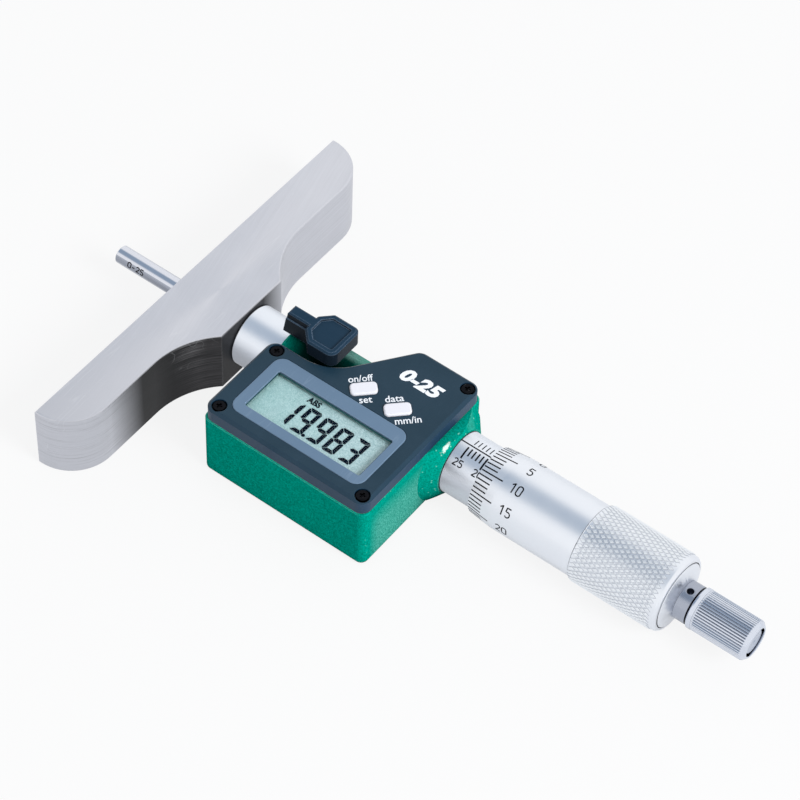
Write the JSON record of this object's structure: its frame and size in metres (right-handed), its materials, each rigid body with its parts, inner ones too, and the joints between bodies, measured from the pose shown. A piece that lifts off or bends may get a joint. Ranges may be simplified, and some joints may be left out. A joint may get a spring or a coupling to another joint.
{
  "type": "digital depth micrometer",
  "caption": "Digital depth micrometer lying display up: flat base bar, slim measuring rod, cast housing with display and lock lever, graduated thimble and fluted ratchet.",
  "frame": {"origin": "point where the spindle axis crosses the base bar's measuring face", "axes": "+X along the spindle axis from the measuring face towards the ratchet, +Y along the base bar away from the display, +Z out of the display"},
  "size_m": [0.169, 0.1014, 0.0249],
  "materials": {
    "ground_steel": "ground stainless steel",
    "rod_steel": "polished",
    "satin_chrome": "satin chrome",
    "knurled_chrome": "satin chrome, knurled band",
    "screw_steel": "turned steel",
    "green_enamel": "hammered green enamel on cast metal",
    "slate_plastic": "fine-textured slate blue",
    "bezel_plastic": "grey-blue",
    "clear_window": "clear",
    "lcd_glass": "liquid crystal cell, pale green",
    "button_plastic": "pale lavender",
    "black_steel": "black oxide",
    "black_rubber": "matt",
    "grey_rubber": "matt",
    "board_green": "solder mask",
    "cell_steel": "nickel-plated",
    "contact_brass": "sprung",
    "holder_plastic": "moulded",
    "encoder_board": "fibreglass with copper pads"
  },
  "bodies": {
    "instrument": {"base_bar": "ground_steel", "neck_tube": "satin_chrome", "housing": "green_enamel", "data_port_plug": "black_rubber", "cover_gasket": "grey_rubber", "front_cover": "slate_plastic", "cover_screws": "black_steel", "display_bezel": "bezel_plastic", "display_window": "clear_window", "lcd_panel": "lcd_glass", "lcd_connectors": "grey_rubber", "circuit_board": "board_green", "battery": "cell_steel", "battery_holder": "holder_plastic", "battery_contact": "contact_brass", "lock_shoe": "contact_brass", "graduated_sleeve": "satin_chrome", "inner_sleeve": "screw_steel", "adjusting_nut": "screw_steel", "encoder_stator": "encoder_board", "rotor_spring": "screw_steel"},
    "rotor": {"encoder_rotor": "encoder_board", "rotor_bush": "contact_brass", "rotor_key": "screw_steel"},
    "spindle_group": {"spindle": "screw_steel", "measuring_rod": "rod_steel", "rod_nut": "screw_steel", "thimble": "knurled_chrome", "end_cap": "satin_chrome", "ratchet_stub": "satin_chrome", "ratchet_washer": "black_steel", "ratchet_clutch": "screw_steel", "ratchet_spring": "screw_steel", "ratchet_screw": "screw_steel"},
    "ratchet_grip": {"ratchet_knob": "satin_chrome"},
    "lever": {"lock_lever": "slate_plastic", "lock_screw": "screw_steel"},
    "on_off_key": {"button_on_off": "button_plastic"},
    "data_key": {"button_data": "button_plastic"},
    "cell_cap": {"battery_cap": "satin_chrome", "battery_cap_oring": "black_rubber"}
  },
  "joints": [
    {"name": "thimble_turn", "type": "hinge", "parent": "instrument", "child": "rotor", "pos_m": [0.0535, 0, 0], "axis": [1, 0, 0], "range_deg": [-3614.6, 14385.8]},
    {"name": "spindle_feed", "type": "slide", "parent": "rotor", "child": "spindle_group", "axis": [1, 0, 0], "range_m": [-0.00502, 0.01998]},
    {"name": "ratchet_turn", "type": "hinge", "parent": "spindle_group", "child": "ratchet_grip", "pos_m": [0.1418, 0, 0], "axis": [1, 0, 0], "continuous": true},
    {"name": "lever_turn", "type": "hinge", "parent": "instrument", "child": "lever", "pos_m": [0.0385, 0, 0.0115], "axis": [0, 0, 1], "range_deg": [-60, 0]},
    {"name": "on_off_press", "type": "slide", "parent": "instrument", "child": "on_off_key", "axis": [0, 0, -1], "range_m": [0, 0.00045], "stiffness_N_per_m": 1500},
    {"name": "data_press", "type": "slide", "parent": "instrument", "child": "data_key", "axis": [0, 0, -1], "range_m": [0, 0.00045], "stiffness_N_per_m": 1500},
    {"name": "cap_turn", "type": "hinge", "parent": "instrument", "child": "cell_cap", "pos_m": [0.0498, -0.0181, -0.0087], "axis": [0, 0, 1], "range_deg": [0, 90]}
  ],
  "couplings": [
    {"joint": "thimble_turn", "follows": "spindle_feed", "rad_per_m": 12566}
  ]
}
